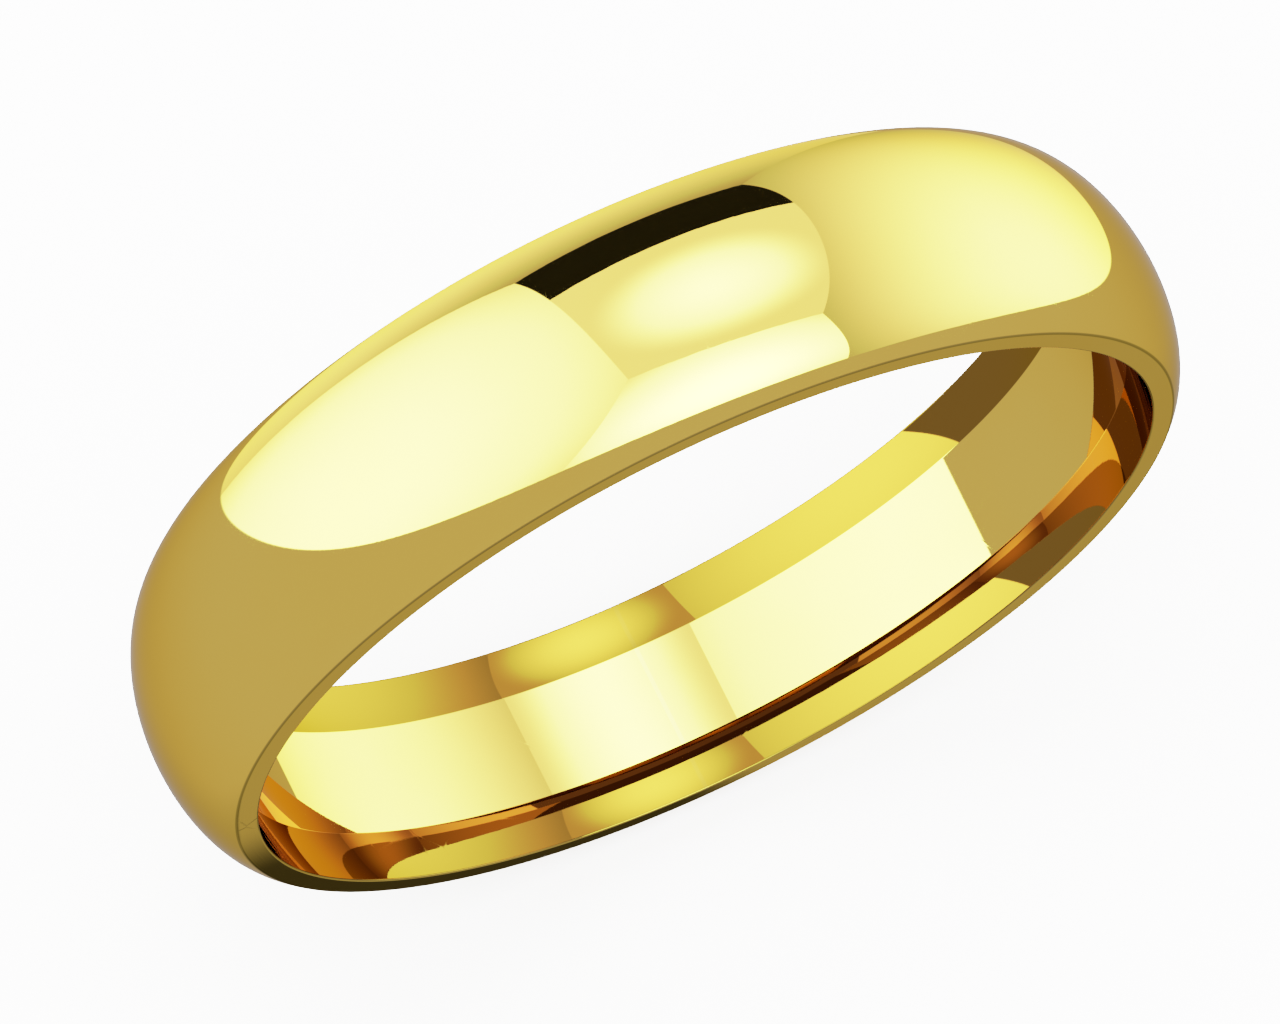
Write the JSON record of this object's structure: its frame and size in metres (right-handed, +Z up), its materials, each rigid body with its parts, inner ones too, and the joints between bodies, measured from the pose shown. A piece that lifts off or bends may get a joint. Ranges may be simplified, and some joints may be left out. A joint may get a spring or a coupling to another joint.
{
  "type": "wedding band",
  "caption": "Plain polished gold wedding band with a domed outside, narrow flat sides and a hollowed inside on each side of a flat land, closed by a solder seam.",
  "frame": {"origin": "centre of the finger hole, halfway between the two flat sides", "axes": "the finger hole runs along Y; the ring stands upright on its edge like a wheel, +Z up, with the solder seam at its lowest point (-Z)"},
  "size_m": [0.0234, 0.005, 0.0234],
  "materials": {
    "yellow_gold": "mirror polished",
    "gold_solder": "mirror polished"
  },
  "bodies": {
    "root": {"band": "yellow_gold", "solder_seam": "gold_solder"}
  },
  "joints": []
}
